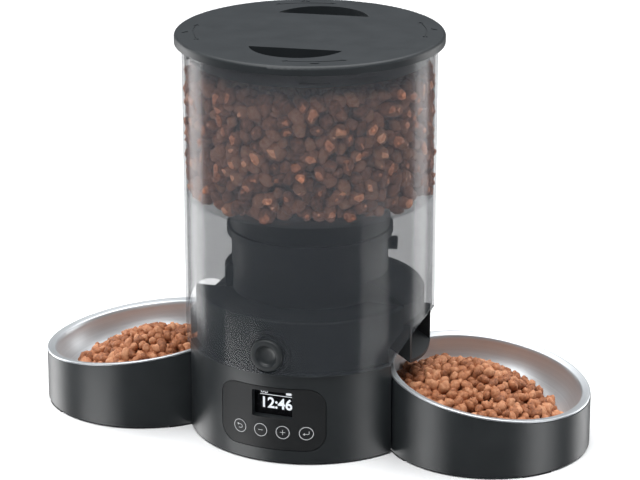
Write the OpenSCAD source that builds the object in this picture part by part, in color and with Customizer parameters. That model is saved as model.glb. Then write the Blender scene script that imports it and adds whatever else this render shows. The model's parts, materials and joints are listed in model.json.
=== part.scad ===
/* [Tank] */
// Outer radius of the clear tank and its skirt
tank_r = 94.5; // [88:0.5:114]
// Wall thickness of the tank
tank_wall = 2; // [1.5:0.1:3]
// Height of the tank above the seam on the base
tank_h = 232.2; // [190:0.1:280]
// Seam between the base and the skirt
skirt_seam = 0.3; // [0.2:0.1:1]
// Radius of the arched opening over each tray
arch_r = 64; // [56:1:72]
// Height of the arch's crown above the base
arch_rise = 27.5; // [24:0.5:34]
// Distance of the arches behind the centre line
arch_back = 3; // [0:0.5:6]
// Fall of the hopper floor towards its outlet, in degrees
floor_fall = 10; // [4:1:16]

/* [Base] */
// Height of the base housing
base_h = 71; // [69:0.5:90]
// How far the skirt overhangs the base
base_inset = 2.5; // [2:0.1:5]
// Wall thickness of the moulded housings
wall = 2.5; // [2:0.1:3]
// Thickness of the bottom plate
bottom_t = 3; // [2.5:0.1:4]
// Height of the rubber feet
foot_h = 1.5; // [1:0.1:2.5]
// Radius of a rubber foot
foot_r = 8; // [6:0.5:9]

/* [Trays and bowls] */
// Outer radius of a bowl tray
tray_r = 77.4; // [64:0.2:93]
// How far a tray reaches into the side of the base
nest_depth = 29.8; // [26:0.1:32]
// Gap between a tray and its nest
nest_gap = 1.5; // [1:0.1:3]
// Distance of the tray centres behind the centre line
tray_back = 6.7; // [0:0.1:8]
// Drop from the top of the base to the high side of a rim
rim_drop = 8; // [6:0.1:12]
// Tilt of a rim, low on the outer side, in degrees
rim_tilt = 8.8; // [4:0.1:10]
// Overhang of the bowl's flange past the tray wall
flange_over = 0.5; // [0.2:0.1:1]
// Width of the bowl's flange
flange_w = 6.5; // [5:0.1:9]
// Depth of a bowl
bowl_depth = 30; // [22:0.5:32]
// Sheet thickness of a bowl
bowl_t = 0.8; // [0.6:0.1:1.2]

/* [Lid] */
// Overhang of the lid past the tank
lid_over = 5.5; // [4:0.5:8]
// Height of the lid's edge
lid_h = 6.6; // [5.5:0.1:9]
// Thickness of the lid's plate
lid_t = 2.4; // [2:0.1:3]
// Distance from the centre to the straight side of a finger recess
recess_in = 50.5; // [44:0.5:54]
// Distance from the centre to the far side of a finger recess
recess_out = 76.5; // [70:0.5:78]
// Depth of a finger recess
recess_depth = 17; // [12:0.5:20]
// Turn of the finger recesses from the front, in degrees
recess_turn = 8; // [0:1:20]
// Turn of the engraved marks from the front, in degrees
mark_turn = 22; // [0:1:44]

/* [Core] */
// Gap between the core drum and the skirt
drum_gap = 6; // [5:0.5:10]
// Height of the core drum above the base
drum_h = 39.5; // [36:0.5:48]
// Outer radius of the neck
neck_r = 59; // [54:0.5:64]
// Wall thickness of the neck
neck_wall = 3; // [2.5:0.1:4]
// Height of the neck above the drum
neck_h = 49; // [44:0.5:60]
// Height of the collar under the hopper floor
collar_h = 19.6; // [14:0.2:26]

/* [Chutes] */
// Outer width of a chute
chute_w = 50; // [40:1:54]
// Wall thickness of a chute
chute_wall = 2.2; // [1.8:0.1:2.6]
// Slope of a chute's ramp, in degrees
ramp_slope = 31; // [26:1:32]
// Gap between a spout and the skirt
spout_gap = 1; // [0.6:0.1:2]
// Gap between a spout's lip and the bowl's rim
spout_lift = 1; // [0.6:0.1:3]
// Radius of the raised hood over the right chute
hood_r = 84.8; // [82:0.2:88]
// Radius of the low roof over the left chute
low_roof_r = 72; // [68:0.5:74]

/* [Drive] */
// Gap between the rotor and the neck
rotor_gap = 3; // [2:0.5:5]
// Number of rotor paddles
paddles = 6; // [4:1:8]
// Radius of the drive shaft
shaft_r = 4; // [3:0.5:5]
// Tooth module of the gear pair
gear_module = 1.4; // [1.2:0.1:1.5]
// Teeth on the rotor gear
gear_teeth = 36; // [32:4:36]
// Teeth on the motor pinion
pinion_teeth = 12; // [12:1:14]
// Running clearance of a shaft in its bore
run_fit = 0.05; // [0.02:0.01:0.1]

/* [Front panel] */
// Width of the front panel
panel_w = 81; // [76:1:90]
// Corner radius of the front panel
panel_corner = 13; // [8:1:16]
// Sideways place of the front panel's centre
panel_x = 1.2; // [-3:0.1:3]
// Sideways place of the display's centre
display_x = 2.8; // [-3:0.1:5]
// Width of the display window
window_w = 31.2; // [28:0.2:34]
// Height of the display window
window_h = 21; // [18:0.5:22]
// Distance from the top of the base to the display window
window_drop = 14; // [12:0.5:18]
// Spacing of the keys
key_pitch = 17.2; // [14:0.2:19]
// Radius of a key
key_r = 5.5; // [4.5:0.1:6.5]
// Gap around a key
key_gap = 0.3; // [0.2:0.05:0.5]
// Travel of a key
key_travel = 0.6; // [0.3:0.1:0.6]
// Radius of the round release button
button_r = 12.4; // [10:0.2:14]
// Height of the button's centre above the base
button_up = 14.7; // [14:0.1:20]
// Travel of the release button
button_travel = 1.5; // [1:0.1:1.5]

/* [Batteries] */
// Radius of a battery cell
cell_r = 17.1; // [16:0.1:17.2]
// Length of a battery cell
cell_len = 61.5; // [50:0.5:61.5]

/* [Hidden] */
$fn = 64;

body_colour = "#2b2f31";
core_colour = "#1d2022";
clear_colour = [0.35, 0.37, 0.39, 0.45];
steel_colour = "#c3c6c8";
rubber_colour = "#17191a";
metal_colour = "#a9adb0";

far = 400;
fit = 0.3;
seat = 0.02;

// Radii that follow the tank
tank_in = tank_r - tank_wall;
base_r = tank_r - base_inset;
drum_r = tank_in - drum_gap;
spout_r = tank_in - spout_gap;
lid_r = tank_r + lid_over;
nest_r = tray_r + nest_gap;
tray_out = base_r + tray_r - nest_depth;

// Heights, stacked from the floor
bottom_z = foot_h + bottom_t;
deck_z = base_h - wall;
skirt_z = base_h + skirt_seam;
tank_top = skirt_z + tank_h;
drum_top = base_h + drum_h;
neck_top = drum_top + neck_h;
plate_rise = 6.5;
plate_t = 3;
plate_z = drum_top + plate_rise;
plate_top = plate_z + plate_t;
arch_z = base_h + arch_rise - arch_r;
collar_z = neck_top + fit;
collar_top = collar_z + collar_h;
collar_over = 1.5;
floor_t = 2;

// Chutes
inlet_out = neck_r - 5;
inlet_in = neck_r - 29;
spout_z = base_h - rim_drop + spout_lift;
spout_top = base_h + 25;
roof_x = drum_r - 56.5;
roof_z = base_h - 26;
notch_w = 60;
boss_r = neck_r + 5.5;
boss_h = 18.5;
boss_round = 4;
drum_round = 2;
chute_gap = 0.2;
neck_rim_h = 6;
neck_rim_w = 3.5;
neck_lug_up = 29;
neck_lug_h = 7;
neck_lug_out = 7;
neck_lug_half = 5;
ledge = 3;
plate_fit = 0.2;

// Drive train
rotor_r = neck_r - neck_wall - rotor_gap;
hub_r = 12;
paddle_t = 3;
paddle_z = plate_top + 1;
paddle_h = 27;
baffle_t = 2;
baffle_half = 34;
baffle_z = paddle_z + paddle_h + 1.5;
hub_top = baffle_z + baffle_t + 1;
gear_r = gear_module * gear_teeth / 2;
pinion_r = gear_module * pinion_teeth / 2;
motor_y = gear_r + pinion_r;
gear_t = 8;
tooth_slack = 8;
tooth_lean = 0.36;
tooth_root = 1.15;
tooth_tip = 0.85;
gear_hub = 4;
gear_boss = 1.5;
gear_z = plate_z - 11;
bracket_t = 3;
bracket_z = gear_z - 6;
bush_r = shaft_r + 3;
bush_flange = 1;
pin_shaft_r = 3;
gearbox_r = 18;
gearbox_h = 22;
can_r = 14;
can_h = 20;
motor_hole_x = 12;
motor_gap = 2;
boss_front = -24;
cable_y = -20;
cable_r = 10;

// Front panel and its parts
panel_t = 1.2;
groove = 0.5;
panel_margin = 11;
window_z = base_h - window_drop - window_h / 2;
key_drop = 10.4;
key_z = window_z - window_h / 2 - key_drop;
panel_low = key_z - 14.1;
panel_high = base_h - panel_margin;
well_y = -(base_r - 7);
well_wall = 2;
lens_t = 1;
lens_margin = 1.4;
screen_t = 2.4;
screen_margin = 0.8;
screen_foot = [20, 4];
board_y = -(base_r - 18);
board_t = 1.6;
board_w = 84;
board_drop = 7;
switch_w = 6;
switch_t = 3.2;
switch_pin_r = 1.7;
key_proud = 0.2;
key_stem_r = 2;
plunger_y = board_y - 4.5;
keys_x = display_x - 0.1;

// Power inlet at the rear
inlet_z = 22;
inlet_r = 6;
inlet_rim = 1.8;
inlet_proud = 0.8;
inlet_bore = 2.8;
inlet_pin_r = 0.9;

// Screws and bosses
screw_r = 1.25;
screw_len = 12;
head_r = 3;
head_h = 1.6;
head_sink = 0.2;
cross_w = 0.7;
screw_gap = 0.4;
post_r = 4;
screw_spots = [[44, -58], [-44, -58], [40, 70], [-40, 70]];
foot_spots = [[30, -72], [-30, -72], [28, 74], [-28, 74]];

// Batteries
cell_gap = 0.4;
cell_pitch = 2 * cell_r + cell_gap;
cell_z = bottom_z + fit + cell_r;
cells_y = 0;
box_wall = 2;
box_half_w = cell_pitch + cell_r + 0.6;
box_front = cells_y - 2;
box_rear = cells_y + cell_len + 2;
box_top = cell_z + cell_r + 1;
door_pin_r = 1;
door_pin_len = 2;
door_gap = 0.3;
plate_gap = 0.2;
cap_h = 1.5;
contact_half = 6;
contact_t = 0.5;
door_axis_y = box_rear - 2;
door_axis_z = foot_h + bottom_t / 2;

// Bowls
flange_r = tray_r + flange_over;
bowl_r = flange_r - flange_w;
bowl_round = 25.5;
rim_z = base_h - rim_drop - flange_r * sin(rim_tilt) - bowl_t * cos(rim_tilt);

// Button
button_z = base_h + button_up;
button_gap = 0.7;
button_proud = 0.9;
button_face = tank_r + button_proud;
flange_face = tank_in - 1.6;
button_flange_r = button_r + 1.8;
guide_gap = 0.4;
guide_wall = 2.2;
guide_r = button_flange_r + guide_gap + guide_wall;
guide_back = drum_r + 0.8;
guide_floor = 0.6;
guide_bore = 6;
spring_t = 0.4;

// Lid
lid_z = tank_top - 3.2;
lid_top = lid_z + lid_h;
lid_under = lid_top - lid_t;
edge_round = 2.5;
plug_r = tank_in - 4;
plug_wall = 2.5;
plug_depth = 16;
lug_h = 2.5;
lug_half = 7;
lid_lug_r = tank_in - 1;
tank_lug_r = tank_in - 2.5;
lid_lug_z = lid_under - plug_depth + 1;
tank_lug_z = lid_lug_z + lug_h + 0.5;
mark_deep = 0.5;
dry_r = 20;
dry_h = 13;

// ---------- shared shapes ----------

module ring(outer, inner, height) {
  difference() {
    cylinder(r = outer, h = height);
    translate([0, 0, -1]) cylinder(r = inner, h = height + 2);
  }
}

// A ring cut to a sector that is centred on the +X direction
module ring_sector(outer, inner, height, half_angle) {
  reach = outer + 5;
  intersection() {
    ring(outer, inner, height);
    linear_extrude(height = height)
      polygon([
        [0, 0],
        [reach * cos(half_angle), -reach * sin(half_angle)],
        [reach * 1.2, 0],
        [reach * cos(half_angle), reach * sin(half_angle)]
      ]);
  }
}

module rounded_rect(w, h, r) {
  square([w - 2 * r, h], center = true);
  square([w, h - 2 * r], center = true);
  for (sx = [-1, 1], sy = [-1, 1])
    translate([sx * (w / 2 - r), sy * (h / 2 - r)]) circle(r = r);
}

// Stands a flat outline up so that it faces the front, from depth y0 to y1
module facing_front(y0, y1) {
  translate([0, y1, 0]) rotate([90, 0, 0]) linear_extrude(height = y1 - y0) children();
}

module peg_y(x, z, r, y0, y1) {
  translate([x, y1, z]) rotate([90, 0, 0]) cylinder(r = r, h = y1 - y0);
}

// Angle of a mark or a lug, counted from the front towards the right
module from_front(angle) {
  rotate([0, 0, angle - 90]) children();
}

// ---------- base ----------

// Outline of the base: a disc with a round nest on each side
module base_plan(inset) {
  difference() {
    circle(r = base_r - inset, $fn = 128);
    for (side = [-1, 1])
      translate([side * tray_out, tray_back]) circle(r = nest_r + inset, $fn = 128);
  }
}

module panel_outline(grow) {
  translate([panel_x, (panel_low + panel_high) / 2])
    rounded_rect(panel_w + 2 * grow, panel_high - panel_low + 2 * grow, panel_corner + grow);
}

module window_outline(grow) {
  translate([display_x, window_z]) rounded_rect(window_w + 2 * grow, window_h + 2 * grow, 1.2 + grow);
}

module key_holes(y0, y1) {
  for (i = [-1.5, -0.5, 0.5, 1.5])
    peg_y(keys_x + i * key_pitch, key_z, key_r + key_gap, y0, y1);
}

module screw_posts() {
  for (spot = screw_spots)
    translate([spot[0], spot[1], bottom_z])
      difference() {
        cylinder(r = post_r, h = deck_z - bottom_z + 0.5);
        translate([0, 0, -1]) cylinder(r = screw_r + run_fit, h = screw_len + 1);
      }
}

module window_well() {
  intersection() {
    facing_front(-base_r, well_y) window_outline(well_wall);
    cylinder(r = base_r - panel_t - groove, h = base_h);
  }
}

module base_shell() color(body_colour) {
  difference() {
    union() {
      difference() {
        translate([0, 0, foot_h]) linear_extrude(height = base_h - foot_h) base_plan(0);
        translate([0, 0, -1]) linear_extrude(height = deck_z + 1) base_plan(wall);
        // recess for the front panel
        intersection() {
          difference() {
            cylinder(r = base_r + 2, h = base_h, $fn = 128);
            translate([0, 0, -1]) cylinder(r = base_r - panel_t - seat, h = base_h + 2, $fn = 128);
          }
          facing_front(-base_r - 5, -base_r / 2) panel_outline(groove);
        }
      }
      window_well();
      screw_posts();
    }
    facing_front(-base_r - 5, well_y + 1) window_outline(0);
    key_holes(-base_r - 5, board_y - 6);
    translate([0, motor_y, deck_z - 1]) cylinder(r = gearbox_r + motor_gap, h = wall + 2);
    translate([0, cable_y, deck_z - 1]) cylinder(r = cable_r, h = wall + 2);
    peg_y(0, inlet_z, inlet_r + fit, base_r - wall - 3, base_r + 3);
  }
}

module base_bottom() color(body_colour) {
  difference() {
    translate([0, 0, foot_h]) linear_extrude(height = bottom_t) base_plan(wall + plate_gap);
    translate([-box_half_w, box_front + plate_gap, foot_h - 1])
      cube([2 * box_half_w, box_rear - box_front - 2 * plate_gap, bottom_t + 2]);
    translate([-box_half_w - door_pin_len - 1, door_axis_y, door_axis_z]) rotate([0, 90, 0])
      cylinder(r = door_pin_r + run_fit, h = 2 * (box_half_w + door_pin_len + 1));
    for (spot = screw_spots)
      translate([spot[0], spot[1], foot_h]) {
        translate([0, 0, -1]) cylinder(r = screw_r + screw_gap, h = bottom_t + 2);
        translate([0, 0, -1]) cylinder(r = head_r + fit, h = head_h + head_sink + 1);
      }
  }
}

module base_feet() color(rubber_colour) {
  for (spot = foot_spots)
    translate([spot[0], spot[1], 0]) cylinder(r = foot_r, h = foot_h);
}

module base_screws() color(metal_colour) {
  for (spot = screw_spots)
    translate([spot[0], spot[1], foot_h + head_sink]) {
      difference() {
        cylinder(r = head_r, h = head_h);
        for (turn = [0, 90])
          rotate([0, 0, turn]) translate([-head_r * 0.7, -cross_w / 2, -1])
            cube([head_r * 1.4, cross_w, 1 + cross_w]);
      }
      cylinder(r = screw_r, h = screw_len);
    }
}

// ---------- batteries ----------

module battery_box() color(core_colour) {
  difference() {
    translate([-box_half_w - box_wall, box_front - box_wall, bottom_z])
      cube([2 * (box_half_w + box_wall), box_rear - box_front + 2 * box_wall, box_top + box_wall - bottom_z]);
    translate([-box_half_w, box_front, bottom_z - 1])
      cube([2 * box_half_w, box_rear - box_front, box_top - bottom_z + 1]);
  }
}

module battery_cells() color("#3b4c8a") {
  for (i = [-1, 0, 1])
    translate([i * cell_pitch, cells_y, cell_z]) rotate([-90, 0, 0]) {
      cylinder(r = cell_r, h = cell_len - cap_h);
      translate([0, 0, cell_len - cap_h - 0.1]) cylinder(r = cell_r * 0.3, h = cap_h + 0.1);
    }
}

module battery_contacts() color(metal_colour) {
  for (i = [-1, 0, 1])
    for (y = [box_front, box_rear - contact_t])
      translate([i * cell_pitch - contact_half, y, cell_z - contact_half])
        cube([2 * contact_half, contact_t, 2 * contact_half]);
}

module battery_door() color(body_colour) {
  half = box_half_w - door_gap;
  front = box_front + plate_gap + door_gap;
  translate([-half, front, foot_h]) cube([2 * half, door_axis_y - front, bottom_t]);
  translate([-half, door_axis_y, door_axis_z]) rotate([0, 90, 0])
    cylinder(r = bottom_t / 2, h = 2 * half);
  translate([-half - door_pin_len, door_axis_y, door_axis_z]) rotate([0, 90, 0])
    cylinder(r = door_pin_r, h = 2 * (half + door_pin_len));
}

// ---------- front panel ----------

module front_panel() color("#34383a") {
  difference() {
    intersection() {
      translate([0, 0, panel_low])
        ring(base_r, base_r - panel_t, panel_high - panel_low, $fn = 128);
      facing_front(-base_r - 5, -base_r / 2) panel_outline(0);
    }
    facing_front(-base_r - 5, 0) window_outline(0);
    key_holes(-base_r - 5, 0);
  }
}

module display_lens() color([0.1, 0.1, 0.12, 0.6]) {
  facing_front(well_y, well_y + lens_t) window_outline(lens_margin);
}

module display_module() color("#0c0d10") {
  screen_y = well_y + lens_t + 0.1;
  facing_front(screen_y, screen_y + screen_t) window_outline(screen_margin);
  translate([display_x - screen_foot[0] / 2, screen_y + screen_t, window_z - screen_foot[1] / 2])
    cube([screen_foot[0], board_y - screen_y - screen_t, screen_foot[1]]);
}

module main_board() color("#1f5a38") {
  translate([panel_x - board_w / 2, board_y, bottom_z]) cube([board_w, board_t, base_h - board_drop - bottom_z]);
}

module key_switches() color("#555a5e") {
  for (i = [-1.5, -0.5, 0.5, 1.5]) {
    x = keys_x + i * key_pitch;
    translate([x - switch_w / 2, board_y - switch_t, key_z - switch_w / 2])
      cube([switch_w, switch_t, switch_w]);
    peg_y(x, key_z, switch_pin_r, plunger_y, board_y - switch_t + 0.1);
  }
}

module key(i) color("#34383a") {
  x = keys_x + i * key_pitch;
  intersection() {
    peg_y(x, key_z, key_r, -base_r - 5, -base_r / 2);
    difference() {
      cylinder(r = base_r + key_proud, h = base_h, $fn = 128);
      translate([0, 0, -1]) cylinder(r = base_r - wall - 1, h = base_h + 2, $fn = 128);
    }
  }
  peg_y(x, key_z, key_stem_r, -sqrt(pow(base_r - wall - 0.5, 2) - pow(x, 2)), plunger_y - key_travel - 0.1);
}

module key_back() key(-1.5);
module key_minus() key(-0.5);
module key_plus() key(0.5);
module key_enter() key(1.5);

module power_inlet() color(rubber_colour) {
  inlet_face = base_r + inlet_proud;
  difference() {
    union() {
      peg_y(0, inlet_z, inlet_r, base_r - 14, base_r);
      peg_y(0, inlet_z, inlet_r + inlet_rim, base_r - seat, inlet_face);
    }
    peg_y(0, inlet_z, inlet_bore, base_r - 10, inlet_face + 1);
  }
  peg_y(0, inlet_z, inlet_pin_r, base_r - 11, inlet_face - 1);
}

// ---------- core ----------

// Hollow over a tray: the nest, closed above by the arch
module tray_hollow(side, grow) {
  intersection() {
    translate([side * tray_out, tray_back, 0]) cylinder(r = nest_r + grow, h = drum_top, $fn = 128);
    translate([0, arch_back, arch_z]) rotate([0, 90, 0])
      translate([0, 0, -far / 2]) cylinder(r = arch_r + grow, h = far, $fn = 128);
  }
}

// Notch behind which the low left chute leaves the drum
module left_notch(grow) {
  difference() {
    translate([-far, -notch_w / 2 - grow, base_h - 1])
      cube([far, notch_w + 2 * grow, far]);
    translate([0, 0, base_h - 2]) cylinder(r = boss_r - grow, h = far + 2, $fn = 96);
  }
}

module boss() {
  intersection() {
    translate([0, 0, drum_top - 1]) rotate_extrude($fn = 96) {
      square([boss_r, boss_h + 1 - boss_round]);
      square([boss_r - boss_round, boss_h + 1]);
      translate([boss_r - boss_round, boss_h + 1 - boss_round]) circle(r = boss_round, $fn = 48);
    }
    translate([-far, -notch_w / 2, 0]) cube([far, notch_w, far]);
  }
}

// Everything that a chute occupies out to a radius, grown all round by a clearance
module chute_body(roof_r, reach, grow) {
  half = chute_w / 2 + grow;
  low = ramp_line(0, grow);
  difference() {
    intersection() {
      union() {
        translate([0, 0, -1]) cylinder(r = spout_r + grow, h = spout_top + grow + 1, $fn = 128);
        cylinder(r = reach, h = far, $fn = 128);
      }
      union() {
        rotate([90, 0, 0]) translate([0, 0, -half]) linear_extrude(height = 2 * half)
          intersection() {
            polygon([[0, low], [far, ramp_line(far, grow)], [far, far], [0, far]]);
            translate([roof_x, roof_z]) circle(r = roof_r + grow, $fn = 128);
            translate([inlet_in - chute_wall - grow, 0]) square([far, far]);
          }
        // the square mouth under the rotor plate
        rotate([90, 0, 0]) translate([0, 0, -half]) linear_extrude(height = 2 * half)
          intersection() {
            polygon([[0, low], [far, ramp_line(far, grow)], [far, far], [0, far]]);
            translate([inlet_in - chute_wall - grow, 0])
              square([inlet_out - inlet_in + 2 * chute_wall + 2 * grow, plate_z]);
          }
      }
    }
    // clear of the neck and of the rotor plate
    translate([0, 0, plate_z]) cylinder(r = neck_r + 0.1, h = far, $fn = 96);
  }
}

// Height of the ramp's underside at a distance from the centre, lowered by a clearance
function ramp_line(x, drop) = spout_z - drop / cos(ramp_slope) + (spout_r - x) * tan(ramp_slope);

module chute(roof_r) {
  half = chute_w / 2 - chute_wall;
  rise = chute_wall / cos(ramp_slope);
  difference() {
    chute_body(roof_r, drum_r, 0);
    intersection() {
      rotate([90, 0, 0]) translate([0, 0, -half]) linear_extrude(height = 2 * half)
        intersection() {
          polygon([[0, ramp_line(0, 0) + rise], [far, ramp_line(far, 0) + rise], [far, far], [0, far]]);
          translate([roof_x, roof_z]) circle(r = roof_r - chute_wall, $fn = 128);
          translate([inlet_in, 0]) square([far, far]);
        }
      union() {
        // the passage below the neck
        cylinder(r = drum_r - chute_wall, h = plate_z - chute_wall, $fn = 128);
        // the open front of the spout
        cylinder(r = far, h = spout_top - chute_wall, $fn = 128);
        // the space under the hood
        difference() {
          cylinder(r = drum_r - chute_wall, h = far, $fn = 128);
          translate([0, 0, -1]) cylinder(r = neck_r + chute_wall, h = far + 2, $fn = 96);
        }
      }
    }
    // the inlet
    rotate([90, 0, 0]) translate([0, 0, -half]) linear_extrude(height = 2 * half)
      intersection() {
        polygon([[0, ramp_line(0, 0) + rise], [far, ramp_line(far, 0) + rise], [far, far], [0, far]]);
        translate([inlet_in, 0]) square([inlet_out - inlet_in, plate_z + 1]);
      }
  }
}

module chute_right() color(core_colour) chute(hood_r);

module chute_left() color(core_colour) mirror([1, 0, 0]) chute(low_roof_r);

module neck_lug(angle) {
  from_front(angle) translate([0, 0, drum_top + neck_lug_up])
    ring_sector(neck_r + neck_lug_out, neck_r - 1, neck_lug_h, neck_lug_half);
}

module core_housing() color(core_colour) {
  difference() {
    union() {
      difference() {
        translate([0, 0, base_h]) rotate_extrude($fn = 128) {
          square([drum_r, drum_h - drum_round]);
          square([drum_r - drum_round, drum_h]);
          translate([drum_r - drum_round, drum_h - drum_round]) circle(r = drum_round, $fn = 32);
        }
        translate([0, 0, base_h - 1]) difference() {
          cylinder(r = drum_r - wall, h = drum_h + 1 - wall, $fn = 128);
          translate([0, 0, -base_h]) tray_hollow(1, wall);
          translate([0, 0, -base_h]) tray_hollow(-1, wall);
          translate([0, 0, 1 - base_h]) left_notch(wall);
        }
      }
      translate([0, 0, drum_top - wall]) cylinder(r = neck_r, h = neck_top - drum_top + wall, $fn = 96);
      translate([0, 0, neck_top - neck_rim_h]) cylinder(r = neck_r + neck_rim_w, h = neck_rim_h, $fn = 96);
      boss();
      neck_lug(109);
      neck_lug(229);
    }
    tray_hollow(1, 0);
    tray_hollow(-1, 0);
    left_notch(0);
    // the bore of the neck, with a ledge for the rotor plate
    translate([0, 0, plate_z]) cylinder(r = neck_r - neck_wall, h = far, $fn = 96);
    translate([0, 0, drum_top - wall - 1])
      cylinder(r = neck_r - neck_wall - ledge, h = plate_rise + wall + 2, $fn = 96);
    translate([0, 0, drum_top - wall - 1])
      cylinder(r = neck_r - neck_wall, h = plate_rise + wall + 1 - ledge, $fn = 96);
    chute_body(hood_r, drum_r + 2, chute_gap);
    mirror([1, 0, 0]) chute_body(low_roof_r, drum_r + 2, chute_gap);
    // the drum's edge over the hood
    translate([neck_r + boss_round, -chute_w / 2 - chute_gap, drum_top - drum_round - 0.5])
      cube([far, chute_w + 2 * chute_gap, drum_round + 1]);
  }
}

// ---------- dispenser ----------

module outlet_outline() {
  for (side = [-1, 1])
    intersection() {
      circle(r = inlet_out - 1.5);
      translate([side * (inlet_in + 0.5 + far / 2), 0])
        square([far, chute_w - 2 * chute_wall - 1], center = true);
    }
}

module rotor_plate() color("#3a3f42") {
  difference() {
    translate([0, 0, plate_z]) cylinder(r = neck_r - neck_wall - plate_fit, h = plate_t, $fn = 96);
    translate([0, 0, plate_z - 1]) linear_extrude(height = plate_t + 2) outlet_outline();
    translate([0, 0, plate_z - 1]) cylinder(r = bush_r, h = plate_t + 2);
  }
}

// Cover over the two outlets, so that food leaves only by way of the rotor
module outlet_baffle() color("#3a3f42") {
  translate([0, 0, baffle_z]) {
    ring(hub_r + 6, hub_r + 1, baffle_t);
    for (turn = [0, 180])
      rotate([0, 0, turn])
        ring_sector(neck_r - neck_wall - plate_fit, hub_r + 5, baffle_t, baffle_half);
  }
}

module rotor() color("#5b6164") {
  difference() {
    union() {
      translate([0, 0, paddle_z]) cylinder(r = hub_r, h = hub_top - paddle_z);
      for (k = [0 : paddles - 1])
        rotate([0, 0, (k + 0.5) * 360 / paddles])
          translate([hub_r - 1, -paddle_t / 2, paddle_z])
            cube([rotor_r - hub_r + 0.5, paddle_t, paddle_h]);
    }
    translate([0, 0, paddle_z - 1]) cylinder(r = shaft_r + seat, h = hub_top - paddle_z + 2);
  }
}

module agitator() color("#3a3f42") {
  translate([0, 0, hub_top]) {
    cylinder(r1 = hub_r + 2, r2 = 5, h = 12);
    for (turn = [0, 180])
      rotate([0, 0, turn]) translate([6, -2, 0]) cube([rotor_r - 14, 4, 5]);
  }
}

// Outline of a spur gear with straight-sided teeth
function tooth(i, teeth, m) =
  let (
    pitch = m * teeth / 2,
    half = (90 - tooth_slack) / teeth,
    lean = tooth_lean * m / pitch * 180 / PI,
    a = i * 360 / teeth
  ) [
    for (p = [
      [pitch - tooth_root * m, -half - lean * tooth_root],
      [pitch + tooth_tip * m, -half + lean * tooth_tip],
      [pitch + tooth_tip * m, half - lean * tooth_tip],
      [pitch - tooth_root * m, half + lean * tooth_root]
    ]) [p[0] * cos(a + p[1]), p[0] * sin(a + p[1])]
  ];

module gear_outline(teeth, m) {
  polygon([for (i = [0 : teeth - 1]) for (p = tooth(i, teeth, m)) p]);
}

module rotor_gear() color("#d8d3c4") {
  difference() {
    union() {
      translate([0, 0, gear_z]) linear_extrude(height = gear_t) gear_outline(gear_teeth, gear_module);
      translate([0, 0, gear_z - gear_boss]) cylinder(r = shaft_r + gear_hub, h = gear_t + 2 * gear_boss);
    }
    translate([0, 0, gear_z - 3]) cylinder(r = shaft_r + seat, h = gear_t + 6);
  }
}

module drive_pinion() color("#d8d3c4") {
  translate([0, motor_y, 0]) {
    translate([0, 0, gear_z]) rotate([0, 0, -90 + 180 / pinion_teeth])
      linear_extrude(height = gear_t) gear_outline(pinion_teeth, gear_module);
    translate([0, 0, bracket_z - 5]) cylinder(r = pin_shaft_r, h = gear_z - bracket_z + 6);
  }
}

module drive_shaft() color(metal_colour) {
  translate([0, 0, bracket_z - 4]) cylinder(r = shaft_r, h = hub_top - bracket_z + 4);
}

module bush(z, up) {
  translate([0, 0, z]) difference() {
    union() {
      cylinder(r = bush_r - seat, h = plate_t);
      translate([0, 0, up ? plate_t : -bush_flange]) cylinder(r = bush_r + 1.5, h = bush_flange);
    }
    translate([0, 0, -2]) cylinder(r = shaft_r + run_fit, h = plate_t + 4);
  }
}

module shaft_bushes() color("#b08d4f") {
  bush(plate_z, false);
  bush(bracket_z, true);
}

module gear_box() color("#c8cacc") {
  translate([0, motor_y, bracket_z - gearbox_h]) difference() {
    cylinder(r = gearbox_r, h = gearbox_h);
    translate([0, 0, gearbox_h - 8]) cylinder(r = pin_shaft_r + run_fit, h = 9);
    for (side = [-1, 1])
      translate([side * motor_hole_x, 0, gearbox_h - 7]) cylinder(r = screw_r + run_fit, h = 8);
  }
}

module motor_can() color(metal_colour) {
  translate([0, motor_y, bracket_z - gearbox_h - can_h]) {
    cylinder(r = can_r, h = can_h);
    translate([0, 0, -2]) cylinder(r = 4, h = 2.5);
  }
}

module motor_bracket() color("#2b2f31") {
  half_w = inlet_in - chute_wall - 2;
  front = boss_front;
  rear = motor_y + gearbox_r + 6;
  difference() {
    union() {
      translate([-half_w, front - post_r, bracket_z])
        cube([2 * half_w, rear - front + 2 * post_r, bracket_t]);
      for (side = [-1, 1], y = [front, rear])
        translate([side * (half_w - post_r), y, base_h])
          cylinder(r = post_r, h = bracket_z - base_h + 0.5);
    }
    translate([0, 0, bracket_z - 1]) cylinder(r = bush_r, h = bracket_t + 2);
    translate([0, motor_y, bracket_z - 1]) cylinder(r = pin_shaft_r + 1.5, h = bracket_t + 2);
    for (side = [-1, 1])
      translate([side * motor_hole_x, motor_y, bracket_z - 1])
        cylinder(r = screw_r + fit, h = bracket_t + 2);
  }
}

module motor_screws() color(metal_colour) {
  for (side = [-1, 1])
    translate([side * motor_hole_x, motor_y, 0]) {
      translate([0, 0, bracket_z + bracket_t]) cylinder(r = 2.6, h = 1.8);
      translate([0, 0, bracket_z - 6]) cylinder(r = screw_r, h = bracket_t + 6.1);
    }
}

// ---------- tank ----------

module hopper_tube() color(clear_colour) {
  difference() {
    union() {
      translate([0, 0, skirt_z]) ring(tank_r, tank_in, tank_h, $fn = 128);
      for (k = [0 : 3])
        from_front(mark_turn + 22 + k * 90) translate([0, 0, tank_lug_z])
          ring_sector(tank_in + 0.5, tank_lug_r, lug_h, lug_half);
    }
    translate([0, arch_back, arch_z]) rotate([0, 90, 0])
      translate([0, 0, -far / 2]) cylinder(r = arch_r, h = far, $fn = 128);
    peg_y(0, button_z, button_r + button_gap, -far, 0);
  }
}

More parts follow.
